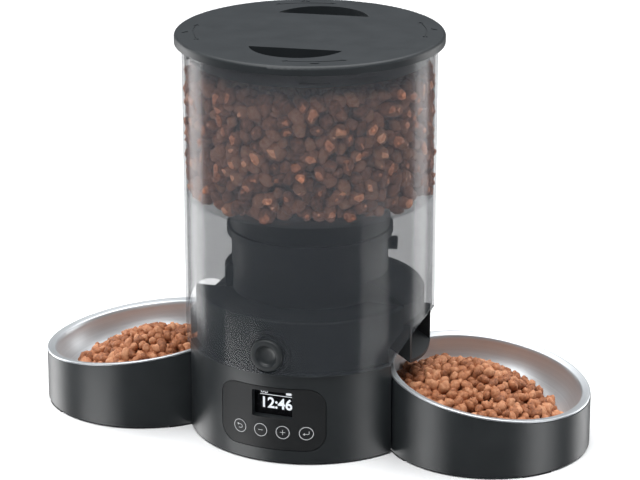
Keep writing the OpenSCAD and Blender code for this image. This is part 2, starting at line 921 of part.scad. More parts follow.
module hopper_floor() color(clear_colour) {
  rise = (tank_in - neck_r - collar_over) * tan(floor_fall);
  bore = neck_r - neck_wall + collar_over;
  rotate_extrude($fn = 128)
    polygon([
      [bore, collar_top],
      [neck_r + collar_over, collar_top],
      [tank_in, collar_top + rise],
      [tank_in, collar_top + rise + floor_t],
      [neck_r + collar_over, collar_top + floor_t],
      [bore, collar_top + floor_t]
    ]);
}

module hopper_collar() color(core_colour) {
  translate([0, 0, collar_z])
    ring(neck_r + collar_over, neck_r - neck_wall + collar_over, collar_h, $fn = 96);
}

// ---------- release button ----------

module button_guide() color(core_colour) {
  intersection() {
    difference() {
      peg_y(0, button_z, guide_r, -far / 2, -guide_back);
      peg_y(0, button_z, button_flange_r + guide_gap, -far, -guide_back - guide_floor);
      peg_y(0, button_z, guide_bore, -far, 0);
    }
    translate([0, 0, skirt_z + fit]) cylinder(r = tank_in, h = far, $fn = 128);
  }
}

module button_spring() color(metal_colour) {
  back = guide_back + guide_floor;
  difference() {
    peg_y(0, button_z, button_r - 2, -back - spring_t, -back);
    peg_y(0, button_z, button_r - 4.5, -far, 0);
  }
}

module release_button() color(body_colour) {
  dish_r = 7;
  dish_depth = 1.6;
  ball_r = (dish_r * dish_r + dish_depth * dish_depth) / (2 * dish_depth);
  difference() {
    union() {
      peg_y(0, button_z, button_r, -button_face, -flange_face + 0.1);
      peg_y(0, button_z, button_flange_r, -flange_face, -flange_face + 1);
    }
    translate([0, -button_face - ball_r + dish_depth, button_z]) sphere(r = ball_r, $fn = 64);
  }
}

// ---------- lid ----------

module lid_seal() color(rubber_colour) {
  translate([0, 0, tank_top + 0.2]) ring(tank_r + 0.5, tank_in - 1.2, lid_under - tank_top - 0.3);
}

// Outline of a finger recess: a straight side towards the centre and a round far side
module recess_outline(grow) {
  half_chord = 34.5;
  sagitta = recess_out - recess_in;
  r = (half_chord * half_chord + sagitta * sagitta) / (2 * sagitta);
  intersection() {
    translate([recess_out - r, 0]) circle(r = r + grow);
    translate([recess_in - grow, -far / 2]) square([far, far]);
  }
}

// A triangle near the edge and a double-headed arc inside it
module lid_mark() {
  arc_r = plug_r - 2.9;
  arc_half = 13;
  line = 0.6;
  head = 2.2;
  polygon([[arc_r + 4, -4], [arc_r + 9, 0], [arc_r + 4, 4]]);
  intersection() {
    difference() {
      circle(r = arc_r + line, $fn = 128);
      circle(r = arc_r - line, $fn = 128);
    }
    polygon([[0, 0], [far * cos(arc_half), -far * sin(arc_half)], [far * cos(arc_half), far * sin(arc_half)]]);
  }
  for (side = [-1, 1])
    rotate(side * arc_half)
      polygon([[arc_r - head, -side * 0.2], [arc_r, side * 4.5], [arc_r + head, -side * 0.2]]);
}

module lid() color(body_colour) {
  difference() {
    union() {
      difference() {
        translate([0, 0, lid_z]) rotate_extrude($fn = 128) {
          square([lid_r, lid_h - edge_round]);
          square([lid_r - edge_round, lid_h]);
          translate([lid_r - edge_round, lid_h - edge_round]) circle(r = edge_round, $fn = 48);
        }
        translate([0, 0, lid_z - 1]) cylinder(r = lid_r - lid_t, h = lid_under - lid_z + 1, $fn = 128);
      }
      translate([0, 0, lid_under - plug_depth]) ring(plug_r, plug_r - plug_wall, plug_depth + 0.1, $fn = 128);
      for (k = [0 : 3])
        from_front(mark_turn + k * 90) translate([0, 0, lid_lug_z])
          ring_sector(lid_lug_r, plug_r - 1, lug_h, lug_half);
      for (turn = [0, 180])
        from_front(recess_turn + turn) translate([0, 0, lid_top - recess_depth - lid_t])
          linear_extrude(height = recess_depth + 0.2) recess_outline(lid_t);
    }
    for (turn = [0, 180])
      from_front(recess_turn + turn) translate([0, 0, lid_top - recess_depth])
        linear_extrude(height = recess_depth + 1) recess_outline(0);
    for (k = [0 : 3])
      from_front(mark_turn + k * 90) translate([0, 0, lid_top - mark_deep])
        linear_extrude(height = mark_deep + 1) lid_mark();
  }
}

module desiccant_box() color("#4a4f52") {
  translate([0, 0, lid_under - dry_h]) ring(dry_r, dry_r - 2, dry_h);
}

module desiccant_cap() color("#4a4f52") {
  translate([0, 0, lid_under - dry_h - 2.2]) difference() {
    cylinder(r = dry_r + 1, h = 2);
    for (x = [-10, -5, 0, 5, 10])
      translate([x - 1, -9, -1]) cube([2, 18, 4]);
  }
}

// ---------- trays and bowls ----------

module rim_frame() {
  translate([tray_out, tray_back, rim_z]) rotate([0, rim_tilt, 0]) children();
}

module tray() color(body_colour) {
  difference() {
    translate([tray_out, tray_back, foot_h]) cylinder(r = tray_r, h = base_h, $fn = 128);
    translate([tray_out, tray_back, foot_h + wall]) cylinder(r = tray_r - wall, h = base_h, $fn = 128);
    rim_frame() translate([-far / 2, -far / 2, 0]) cube([far, far, far]);
  }
}

module tray_feet() color(rubber_colour) {
  for (k = [0 : 3])
    translate([tray_out, tray_back, 0]) rotate([0, 0, 45 + k * 90])
      ring_sector(tray_r, tray_r - 6, foot_h, 9);
}

// Wall line of a bowl, from the rim inwards to the floor
function bowl_line(skin) = [
  for (a = [0 : 6 : 90])
    [bowl_r - bowl_round + (bowl_round + skin) * cos(a), -(bowl_depth + skin) * sin(a)]
];

module bowl() color(steel_colour) {
  bead = 0.9;
  rim_frame() rotate_extrude($fn = 128) {
    polygon(concat(
      [[flange_r - bead, 0], [flange_r - bead, bowl_t], [bowl_r + 1.2, bowl_t], [bowl_r + 0.4, bowl_t * 0.6]],
      bowl_line(0),
      [[0, -bowl_depth], [0, -bowl_depth - bowl_t]],
      [for (i = [len(bowl_line(bowl_t)) - 1 : -1 : 0]) bowl_line(bowl_t)[i]]
    ));
    translate([flange_r - bead, bead]) circle(r = bead, $fn = 32);
  }
}

module tray_right() tray();
module tray_left() mirror([1, 0, 0]) tray();
module tray_feet_right() tray_feet();
module tray_feet_left() mirror([1, 0, 0]) tray_feet();
module bowl_right() bowl();
module bowl_left() mirror([1, 0, 0]) bowl();

base_shell();
base_bottom();
base_feet();
base_screws();
battery_box();
battery_cells();
battery_contacts();
battery_door();
front_panel();
display_lens();
display_module();
main_board();
key_switches();
key_back();
key_minus();
key_plus();
key_enter();
power_inlet();
core_housing();
chute_left();
chute_right();
rotor_plate();
outlet_baffle();
rotor();
agitator();
rotor_gear();
drive_shaft();
shaft_bushes();
drive_pinion();
gear_box();
motor_can();
motor_bracket();
motor_screws();
hopper_tube();
hopper_floor();
hopper_collar();
button_guide();
button_spring();
release_button();
lid_seal();
lid();
desiccant_box();
desiccant_cap();
tray_left();
tray_right();
tray_feet_left();
tray_feet_right();
bowl_left();
bowl_right();
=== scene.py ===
import json
import math

import bmesh
import bpy
from mathutils import Matrix, Vector, noise


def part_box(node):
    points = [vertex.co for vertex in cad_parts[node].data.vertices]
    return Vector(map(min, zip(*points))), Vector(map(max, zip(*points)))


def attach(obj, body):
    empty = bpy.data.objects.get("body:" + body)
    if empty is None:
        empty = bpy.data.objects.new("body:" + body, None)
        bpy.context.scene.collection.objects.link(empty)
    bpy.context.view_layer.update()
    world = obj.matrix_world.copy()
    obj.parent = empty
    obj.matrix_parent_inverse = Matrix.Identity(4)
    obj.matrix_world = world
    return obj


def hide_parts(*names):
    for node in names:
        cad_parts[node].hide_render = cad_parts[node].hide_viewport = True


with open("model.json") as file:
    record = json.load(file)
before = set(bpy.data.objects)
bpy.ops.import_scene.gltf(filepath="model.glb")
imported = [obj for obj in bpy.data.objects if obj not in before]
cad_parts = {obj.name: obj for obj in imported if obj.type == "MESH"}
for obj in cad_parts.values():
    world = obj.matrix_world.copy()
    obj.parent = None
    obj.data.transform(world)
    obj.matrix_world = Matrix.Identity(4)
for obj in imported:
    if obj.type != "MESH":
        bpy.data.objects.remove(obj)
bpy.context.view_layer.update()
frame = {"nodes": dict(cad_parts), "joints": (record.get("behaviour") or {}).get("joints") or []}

nodes = frame["nodes"]
joints = {joint["name"]: joint for joint in frame["joints"]}
scene = bpy.context.scene
scene.view_settings.view_transform = "Standard"

# ---------------------------------------------------------------------------
# The studio: a white table top under wide soft lights, and a long lens that
# looks down at the feeder from its front right.
# ---------------------------------------------------------------------------
scene.world = bpy.data.worlds.new("studio_sky")
scene.world.use_nodes = True
sky_tree = scene.world.node_tree
toward = sky_tree.nodes.new("ShaderNodeTexCoord")
height = sky_tree.nodes.new("ShaderNodeSeparateXYZ")
dome = sky_tree.nodes.new("ShaderNodeValToRGB")
dome.color_ramp.elements[0].position = 0.45
dome.color_ramp.elements[0].color = (0.075, 0.08, 0.088, 1)
dome.color_ramp.elements[1].position = 0.95
dome.color_ramp.elements[1].color = (0.84, 0.87, 0.9, 1)
sky_tree.links.new(toward.outputs["Generated"], height.inputs["Vector"])
sky_tree.links.new(height.outputs["Z"], dome.inputs["Fac"])
sky_tree.links.new(dome.outputs["Color"], sky_tree.nodes["Background"].inputs["Color"])


def soft_box(name, place, aim, width, height, watts):
    """A rectangular soft light that faces a point."""
    lamp = bpy.data.lights.new(name, "AREA")
    lamp.shape = "RECTANGLE"
    lamp.size, lamp.size_y, lamp.energy = width, height, watts
    box = bpy.data.objects.new(name, lamp)
    box.location = place
    box.rotation_euler = (Vector(aim) - Vector(place)).to_track_quat("-Z", "Y").to_euler()
    scene.collection.objects.link(box)


# The two front strips lie below the table top and the side strips reach below it. Glossy
# surfaces don't mirror the table, so that it doesn't hide the strips from the dark walls.
soft_box("overhead_light", (0.1, 0.1, 1.9), (0, 0, 0), 2.6, 2.6, 60)
soft_box("front_key", (-0.35, -1.0, 1.45), (0, 0, 0.1), 0.7, 0.7, 9)
soft_box("front_left_strip", (-0.44, -0.48, -0.3), (0, 0, -0.3), 0.4, 0.36, 2.9)
soft_box("front_right_strip", (0.75, -0.16, -0.25), (0.1, 0, -0.25), 0.36, 0.44, 2.2)
soft_box("left_strip", (-0.8, 0.16, 0.04), (0, 0, 0.04), 0.36, 1.0, 5.5)
soft_box("right_strip", (0.68, 0.7, 0.04), (0.1, 0, 0.04), 0.4, 1.0, 5.5)

half = 9
table = bpy.data.meshes.new("table_top")
table.from_pydata([(-half, -half, 0), (half, -half, 0), (half, half, 0), (-half, half, 0)],
                  [], [(0, 1, 2, 3)])
table_top = bpy.data.objects.new("table_top", table)
scene.collection.objects.link(table_top)
white_paper = bpy.data.materials.new("white_paper")
white_paper.use_nodes = True
paper = white_paper.node_tree.nodes["Principled BSDF"]
paper.inputs["Base Color"].default_value = (0.94, 0.94, 0.94, 1)
paper.inputs["Roughness"].default_value = 0.9
paper.inputs["Specular IOR Level"].default_value = 0.1

# Away from the feeder the paper glows a little, so that it stays pale where the lights don't reach.
glow_from, glow_full, glow_most = 0.7, 3.5, 0.6
paper.inputs["Emission Color"].default_value = (1, 1, 1, 1)
paper_tree = white_paper.node_tree
on_paper = paper_tree.nodes.new("ShaderNodeTexCoord")
outward = paper_tree.nodes.new("ShaderNodeVectorMath")
outward.operation = "LENGTH"
far_glow = paper_tree.nodes.new("ShaderNodeMapRange")
far_glow.inputs["From Min"].default_value = glow_from
far_glow.inputs["From Max"].default_value = glow_full
far_glow.inputs["To Max"].default_value = glow_most
paper_tree.links.new(on_paper.outputs["Object"], outward.inputs[0])
paper_tree.links.new(outward.outputs["Value"], far_glow.inputs["Value"])
paper_tree.links.new(far_glow.outputs["Result"], paper.inputs["Emission Strength"])
table.materials.append(white_paper)
table_top.visible_glossy = False

look_down, look_round = 19.055, 19.643
camera = bpy.data.objects.new("camera", bpy.data.cameras.new("camera"))
scene.collection.objects.link(camera)
camera.location = (0.6374, -1.7636, 0.7923)
camera.rotation_euler = (math.radians(90 - look_down), 0, math.radians(look_round))
camera.data.lens = 147.9
camera.data.sensor_width = 36
camera.data.clip_start = 0.05
scene.camera = camera

# ---------------------------------------------------------------------------
# Charcoal mouldings: the base housing, its bottom plate and battery door, the
# face plate, the keys and the bowl trays. They are injection moulded in ABS
# with a fine satin grain, and the base parts are screwed together from below.
# ---------------------------------------------------------------------------


def new_material(name):
    """An empty procedural material with its Principled shader and Object coordinates."""
    made = bpy.data.materials.new(name)
    made.use_nodes = True
    tree = made.node_tree
    place = tree.nodes.new("ShaderNodeTexCoord").outputs["Object"]
    return made, tree, tree.nodes["Principled BSDF"], place


def grain(tree, place, scale, detail=2.0):
    """Noise at a scale in cycles a metre."""
    speckle = tree.nodes.new("ShaderNodeTexNoise")
    speckle.inputs["Scale"].default_value = scale
    speckle.inputs["Detail"].default_value = detail
    tree.links.new(place, speckle.inputs["Vector"])
    return speckle.outputs["Fac"]


def spread(tree, value, low, high):
    """The value, which runs about 0.3 to 0.7, mapped to a range."""
    span = tree.nodes.new("ShaderNodeMapRange")
    span.inputs["From Min"].default_value = 0.3
    span.inputs["From Max"].default_value = 0.7
    span.inputs["To Min"].default_value = low
    span.inputs["To Max"].default_value = high
    tree.links.new(value, span.inputs["Value"])
    return span.outputs["Result"]


def bump(tree, shader, height, strength, distance):
    """Presses a height pattern into the surface."""
    press = tree.nodes.new("ShaderNodeBump")
    press.inputs["Strength"].default_value = strength
    press.inputs["Distance"].default_value = distance
    tree.links.new(height, press.inputs["Height"])
    tree.links.new(press.outputs["Normal"], shader.inputs["Normal"])


def tint(tree, value, dark, light, shader):
    """Colours the surface between two tones by a value."""
    ramp = tree.nodes.new("ShaderNodeValToRGB")
    ramp.color_ramp.elements[0].position = 0.3
    ramp.color_ramp.elements[0].color = (*dark, 1)
    ramp.color_ramp.elements[1].position = 0.7
    ramp.color_ramp.elements[1].color = (*light, 1)
    tree.links.new(value, ramp.inputs["Fac"])
    tree.links.new(ramp.outputs["Color"], shader.inputs["Base Color"])


def moulded_plastic(name, colour, rough, gloss=0.5):
    """Satin plastic: a faint mottle, a fine spark grain and a little roughness drift."""
    made, tree, shader, place = new_material(name)
    mottle = grain(tree, place, 55, 3)
    tint(tree, mottle, [c * 0.93 for c in colour], [c * 1.07 for c in colour], shader)
    tree.links.new(spread(tree, mottle, rough - 0.02, rough + 0.02), shader.inputs["Roughness"])
    shader.inputs["Specular IOR Level"].default_value = gloss
    bump(tree, shader, grain(tree, place, 2600), 0.12, 0.00004)
    return made


def dress(material, *names):
    """Puts one finish on CAD nodes."""
    for name in names:
        mesh = nodes[name].data
        mesh.materials.clear()
        mesh.materials.append(material)


charcoal = moulded_plastic("charcoal_plastic", (0.02, 0.0235, 0.0255), 0.42)
dress(charcoal, "base_shell", "base_bottom", "battery_door", "tray_left", "tray_right")
plate_grey = moulded_plastic("face_plate_plastic", (0.0165, 0.0175, 0.0185), 0.5, 0.35)
dress(plate_grey, "front_panel", "key_back", "key_minus", "key_plus", "key_enter")

# ---------------------------------------------------------------------------
# The core: drum, neck, chutes, collar and the plates of the dispenser. They
# are moulded in a darker, matter plastic and clip into the base; the rotor is
# a softer grey rubber so that it doesn't crush the food.
# ---------------------------------------------------------------------------
core_black = moulded_plastic("core_plastic", (0.017, 0.0195, 0.0215), 0.46, 0.42)
dress(core_black, "core_housing", "chute_left", "chute_right", "hopper_collar",
      "button_guide", "battery_box", "rotor_plate", "outlet_baffle", "agitator",
      "motor_bracket", "desiccant_box", "desiccant_cap")


def soft_rubber(name, colour):
    """Matt rubber with a dusty bloom."""
    made, tree, shader, place = new_material(name)
    bloom = grain(tree, place, 120, 4)
    tint(tree, bloom, colour, [c * 1.5 for c in colour], shader)
    tree.links.new(spread(tree, bloom, 0.72, 0.85), shader.inputs["Roughness"])
    shader.inputs["Specular IOR Level"].default_value = 0.3
    bump(tree, shader, grain(tree, place, 900), 0.2, 0.0001)
    return made


dress(soft_rubber("paddle_rubber", (0.09, 0.1, 0.105)), "rotor")
dress(soft_rubber("foot_rubber", (0.012, 0.012, 0.013)), "base_feet", "tray_feet_left",
      "tray_feet_right", "lid_seal", "power_inlet")

# ---------------------------------------------------------------------------
# The drive: a plated gear motor under an acetal gear pair, a turned steel
# shaft in sintered bronze bushes, and the screws.
# ---------------------------------------------------------------------------


def metal(name, colour, rough, scratch_scale):
    """Bare metal with fine machining marks."""
    made, tree, shader, place = new_material(name)
    marks = grain(tree, place, scratch_scale, 5)
    tint(tree, marks, [c * 0.85 for c in colour], colour, shader)
    shader.inputs["Metallic"].default_value = 1.0
    tree.links.new(spread(tree, marks, rough - 0.06, rough + 0.08), shader.inputs["Roughness"])
    return made


dress(metal("turned_steel", (0.6, 0.61, 0.62), 0.28, 700), "drive_shaft", "base_screws",
      "motor_screws", "battery_contacts", "button_spring")
dress(metal("plated_motor", (0.52, 0.53, 0.55), 0.4, 260), "gear_box", "motor_can")
dress(metal("bush_bronze", (0.55, 0.36, 0.16), 0.45, 500), "shaft_bushes")
dress(moulded_plastic("natural_acetal", (0.72, 0.7, 0.62), 0.4), "rotor_gear", "drive_pinion")

# ---------------------------------------------------------------------------
# The electronics: a green board with its key switches stands behind the face
# plate, and three sleeved cells lie in the battery box.
# ---------------------------------------------------------------------------
board_green, tree, shader, place = new_material("solder_mask")
tracks = tree.nodes.new("ShaderNodeTexBrick")
tracks.inputs["Scale"].default_value = 190
tracks.inputs["Mortar Size"].default_value = 0.06
tracks.inputs["Color1"].default_value = (0.01, 0.09, 0.03, 1)
tracks.inputs["Color2"].default_value = (0.012, 0.11, 0.035, 1)
tracks.inputs["Mortar"].default_value = (0.03, 0.2, 0.06, 1)
tree.links.new(place, tracks.inputs["Vector"])
tree.links.new(tracks.outputs["Color"], shader.inputs["Base Color"])
shader.inputs["Roughness"].default_value = 0.35
dress(board_green, "main_board")
dress(moulded_plastic("switch_plastic", (0.16, 0.165, 0.17), 0.4), "key_switches")
dress(moulded_plastic("cell_sleeve", (0.03, 0.06, 0.22), 0.25), "battery_cells")

# ---------------------------------------------------------------------------
# The hopper: one clear moulding in smoke-tinted plastic, which is both the
# tank and the skirt round the core, with a sloping floor welded into it.
# ---------------------------------------------------------------------------


def smoke_clear(name, colour, lit_tone, lit_from, cover):
    """Smoke-tinted clear plastic, painted a lighter tone above a height as painted light on the upper tank.
    A face hides the share cover.
    """
    made, tree, shader, place = new_material(name)
    haze = grain(tree, place, 18, 2)
    level = tree.nodes.new("ShaderNodeSeparateXYZ")
    tree.links.new(place, level.inputs["Vector"])
    fade = 0.004
    # Painted light: the colour turns lighter above the given height.
    painted_light_band = tree.nodes.new("ShaderNodeMapRange")
    painted_light_band.inputs["From Min"].default_value = lit_from - fade
    painted_light_band.inputs["From Max"].default_value = lit_from + fade
    painted_light_band.inputs["To Min"].default_value = 0.3
    painted_light_band.inputs["To Max"].default_value = 0.7
    tree.links.new(level.outputs["Z"], painted_light_band.inputs["Value"])
    tint(tree, painted_light_band.outputs["Result"], colour, lit_tone, shader)
    tree.links.new(spread(tree, haze, 0.16, 0.22), shader.inputs["Roughness"])
    shader.inputs["Alpha"].default_value = cover
    shader.inputs["Specular IOR Level"].default_value = 0.45
    return made


# The lighter second tone is painted light: above the floor's top edge the tank is coloured lighter than the
# skirt below it.
smoke, lit_smoke = (0.048, 0.054, 0.061), (0.096, 0.099, 0.108)
floor_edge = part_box("hopper_floor")[1].z
dress(smoke_clear("smoke_tank", smoke, lit_smoke, floor_edge, 0.36), "hopper_tube")
dress(smoke_clear("smoke_floor", smoke, smoke, floor_edge, 0.26), "hopper_floor")
window_tint = (0.02, 0.02, 0.024)
dress(smoke_clear("screen_window", window_tint, window_tint, 0, 0.1), "display_lens")

# ---------------------------------------------------------------------------
# The lid: a charcoal moulding, close to the base's colour, with two finger
# recesses and engraved turn marks. A short turn locks it into the tank.
# ---------------------------------------------------------------------------
dress(moulded_plastic("lid_plastic", (0.019, 0.0225, 0.025), 0.46, 0.4), "lid")

# ---------------------------------------------------------------------------
# The release button: a round moulded cap with a rounded edge, a flat ring and
# a dished middle. It slides in its guide behind the skirt.
# ---------------------------------------------------------------------------


def arc(cx, cy, radius, start, end, steps):
    """Points of a circular arc, angles in degrees."""
    turn = [math.radians(start + (end - start) * i / steps) for i in range(steps + 1)]
    return [(cx + radius * math.cos(a), cy + radius * math.sin(a)) for a in turn]


def turned(name, profile, steps, place):
    """A mesh turned about the Z axis from (radius, height) points, then moved by a matrix."""
    form = bmesh.new()
    rings = []
    for radius, height in profile:
        if radius < 1e-6:
            rings.append([form.verts.new((0, 0, height))])
            continue
        angles = [2 * math.pi * i / steps for i in range(steps)]
        rings.append([form.verts.new((radius * math.cos(a), radius * math.sin(a), height))
                      for a in angles])
    for low, high in zip(rings, rings[1:]):
        for i in range(steps):
            j = (i + 1) % steps
            corners = [low[i % len(low)], low[j % len(low)], high[j % len(high)], high[i % len(high)]]
            form.faces.new(list(dict.fromkeys(corners)))
    bmesh.ops.recalc_face_normals(form, faces=form.faces)
    form.transform(place)
    mesh = bpy.data.meshes.new(name)
    form.to_mesh(mesh)
    form.free()
    for face in mesh.polygons:
        face.use_smooth = True
    piece = bpy.data.objects.new(name, mesh)
    scene.collection.objects.link(piece)
    return piece


button_low, button_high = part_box("release_button")
button_middle = (button_low + button_high) / 2
button_r = 0.0124
collar_r = 0.0142
collar_high = 0.0009
edge_round = 0.0013
ring_in = 0.0086
ring_round = 0.0009
dish_deep = 0.0025
face_high = button_high.y - button_low.y
button_profile = [(0, 0), (collar_r, 0), (collar_r, collar_high), (button_r, 0.001)]
button_profile += arc(button_r - edge_round, face_high - edge_round, edge_round, 0, 90, 6)
button_profile += arc(ring_in, face_high - ring_round, ring_round, 90, 165, 5)
button_profile += [(0.0073, face_high - 0.0016), (0.0066, face_high - 0.0021),
                   (0.004, face_high - 0.0024), (0, face_high - dish_deep)]
facing_front = Matrix.Translation((button_middle.x, button_high.y, button_middle.z))
facing_front = facing_front @ Matrix.Rotation(math.radians(90), 4, "X")
button = turned("button_cap", button_profile, 96, facing_front)
button.data.materials.append(charcoal)
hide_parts("release_button")
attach(button, "button")

# ---------------------------------------------------------------------------
# The steel bowls: spun from thin stainless sheet with a satin finish in fine
# rings, and a flat flange rolled under at its edge. They rest in the trays.
# ---------------------------------------------------------------------------
bowl_tilt = math.radians(8.8)
flange_r = 0.0779
inside_r = 0.0714
corner_r = 0.0255
bowl_deep = 0.030
sheet = 0.0008


def rim_place(side):
    """From a bowl's own frame, with its rim at height 0, to the feeder's."""
    name = "right_bowl_tip" if side > 0 else "left_bowl_tip"
    edge = Vector(joints[name]["pos_m"])
    centre = edge + Vector((side * flange_r * math.cos(bowl_tilt), 0, -flange_r * math.sin(bowl_tilt)))
    return Matrix.Translation(centre) @ Matrix.Rotation(side * bowl_tilt, 4, "Y")


def wall_line(skin, steps=14):
    """The bowl's inner face, or its outer face when skin is the sheet's thickness."""
    turn = [math.radians(90 * i / steps) for i in range(steps + 1)]
    middle = inside_r - corner_r
    return [(middle + (corner_r + skin) * math.cos(a), -(bowl_deep + skin) * math.sin(a)) for a in turn]


def spun_steel(side):
    """Satin stainless with fine turning rings about the bowl's own axis."""
    made, tree, shader, place = new_material("spun_steel_right" if side > 0 else "spun_steel_left")
    centre = tree.nodes.new("ShaderNodeMapping")
    centre.vector_type = "TEXTURE"
    turned_by = rim_place(side)
    centre.inputs["Location"].default_value = turned_by.translation
    centre.inputs["Rotation"].default_value = turned_by.to_euler()
    flat = tree.nodes.new("ShaderNodeVectorMath")
    flat.operation = "MULTIPLY"
    flat.inputs[1].default_value = (1, 1, 0)
    reach = tree.nodes.new("ShaderNodeVectorMath")
    reach.operation = "LENGTH"
    rings = tree.nodes.new("ShaderNodeTexNoise")
    rings.noise_dimensions = "1D"
    rings.inputs["Scale"].default_value = 1500
    rings.inputs["Detail"].default_value = 3
    tree.links.new(place, centre.inputs["Vector"])
    tree.links.new(centre.outputs["Vector"], flat.inputs[0])
    tree.links.new(flat.outputs["Vector"], reach.inputs[0])
    tree.links.new(reach.outputs["Value"], rings.inputs["W"])
    ring_value = rings.outputs["Fac"]
    tint(tree, ring_value, (0.6, 0.625, 0.645), (0.67, 0.695, 0.715), shader)
    tree.links.new(spread(tree, ring_value, 0.38, 0.46), shader.inputs["Roughness"])
    shader.inputs["Metallic"].default_value = 0.8
    bump(tree, shader, ring_value, 0.25, 0.00002)
    return made


bead = 0.0009
lip = 0.0004
lip_r = inside_r + 0.0012
flange_from = inside_r + 0.003
flange_to = flange_r - 0.0025
under_to = flange_r - 0.002
bowl_profile = [(0, -bowl_deep)] + wall_line(0)[::-1]
bowl_profile += [(inside_r + lip, lip), (lip_r, sheet)]
bowl_profile += [(flange_from, sheet + 0.00025), (flange_to, sheet + 0.0006)]
bowl_profile += arc(flange_r - bead, bead, bead, 90, -90, 10)
bowl_profile += [(under_to, 0), (inside_r + sheet, 0)] + wall_line(sheet)
bowl_profile += [(0, -bowl_deep - sheet)]
for side, word in ((1, "right"), (-1, "left")):
    bowl = turned(f"steel_bowl_{word}", bowl_profile, 160, rim_place(side))
    bowl.data.materials.append(spun_steel(side))
    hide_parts(f"bowl_{word}")
    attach(bowl, f"{word}_bowl")

# ---------------------------------------------------------------------------
# The dry food: extruded, baked nuggets with rough broken faces. They lie
# heaped in the bowls and fill the hopper, one nugget beside the other.
# ---------------------------------------------------------------------------
nugget_shapes = bpy.data.collections.new("nugget_shapes")
coarse, fine = 0.42, 0.18
longer, flatter = 1.18, 0.8
for shape in range(5):
    lump = bmesh.new()
    bmesh.ops.create_icosphere(lump, subdivisions=2, radius=0.5)
    for vert in lump.verts:
        seed = vert.co * 2.2 + Vector((shape * 7.3, 0, 0))
        vert.co *= 1 + coarse * noise.noise(seed) + fine * noise.noise(seed * 2.7)
        vert.co.x *= longer
        vert.co.z *= flatter
    lump_mesh = bpy.data.meshes.new(f"nugget_{shape}")
    lump.to_mesh(lump_mesh)
    lump.free()
    for face in lump_mesh.polygons:
        face.use_smooth = True
    nugget_shapes.objects.link(bpy.data.objects.new(f"nugget_{shape}", lump_mesh))

pour = bpy.data.node_groups.new("pour_nuggets", "GeometryNodeTree")
pour_inputs = {}
for label, kind in (("Surface", "NodeSocketGeometry"), ("Nuggets", "NodeSocketCollection"),
                    ("Spacing", "NodeSocketFloat"), ("Smallest", "NodeSocketFloat"),
                    ("Largest", "NodeSocketFloat"), ("Unevenness", "NodeSocketFloat"),
                    ("Finish", "NodeSocketMaterial"), ("Seed", "NodeSocketInt")):
    pour_inputs[label] = pour.interface.new_socket(label, in_out="INPUT", socket_type=kind)
pour.interface.new_socket("Food", in_out="OUTPUT", socket_type="NodeSocketGeometry")


def input_of(node, key):
    """A node's input by its name, or by its place where the key is the letter i and a number."""
    if key[0] == "i" and key[1:].isdigit():
        return node.inputs[int(key[1:])]
    return node.inputs[key.replace("_", " ")]


def pour_node(kind, **inputs):
    """Adds a node to the pouring tree. An input is a plain value or another node's output."""
    node = pour.nodes.new(kind)
    for key, value in inputs.items():
        socket = input_of(node, key)
        if isinstance(value, bpy.types.NodeSocket):
            pour.links.new(value, socket)
        else:
            socket.default_value = value
    return node


given = pour.nodes.new("NodeGroupInput").outputs
points = pour_node("GeometryNodeDistributePointsOnFaces", Mesh=given["Surface"], Seed=given["Seed"])
points.distribute_method = "POISSON"
pour.links.new(given["Spacing"], points.inputs["Distance Min"])
points.inputs["Density Max"].default_value = 60000
stir = pour_node("FunctionNodeRandomValue", Seed=given["Seed"])
stir.data_type = "FLOAT_VECTOR"
stir.inputs[0].default_value = (-1, -1, -1)
stir.inputs[1].default_value = (1, 1, 1)
push = pour_node("ShaderNodeVectorMath", i0=stir.outputs[0])
push.operation = "SCALE"
pour.links.new(given["Unevenness"], push.inputs["Scale"])
moved = pour_node("GeometryNodeSetPosition", Geometry=points.outputs["Points"], Offset=push.outputs[0])
full_turn = 6.28
tumble = pour_node("FunctionNodeRandomValue")
tumble.data_type = "FLOAT_VECTOR"
tumble.inputs[0].default_value = (0, 0, 0)
tumble.inputs[1].default_value = (full_turn, full_turn, full_turn)
tumble.inputs["Seed"].default_value = 11
size = pour_node("FunctionNodeRandomValue")
pour.links.new(given["Smallest"], size.inputs[2])
pour.links.new(given["Largest"], size.inputs[3])
size.inputs["Seed"].default_value = 12
shapes = pour_node("GeometryNodeCollectionInfo", Collection=given["Nuggets"])
shapes.inputs["Separate Children"].default_value = True
placed = pour_node("GeometryNodeInstanceOnPoints", Points=moved.outputs["Geometry"],
                   Instance=shapes.outputs["Instances"], Rotation=tumble.outputs[0], Scale=size.outputs[1])
placed.inputs["Pick Instance"].default_value = True
bake = pour_node("FunctionNodeRandomValue")
bake.inputs["Seed"].default_value = 13
toned = pour_node("GeometryNodeStoreNamedAttribute", Geometry=placed.outputs["Instances"])
toned.data_type = "FLOAT"
toned.domain = "INSTANCE"
toned.inputs["Name"].default_value = "bake"
pour.links.new(bake.outputs[1], toned.inputs["Value"])
real = pour_node("GeometryNodeRealizeInstances", Geometry=toned.outputs["Geometry"])
coated = pour_node("GeometryNodeSetMaterial", Geometry=real.outputs["Geometry"], Material=given["Finish"])
pour.links.new(coated.outputs["Geometry"], pour.nodes.new("NodeGroupOutput").inputs[0])


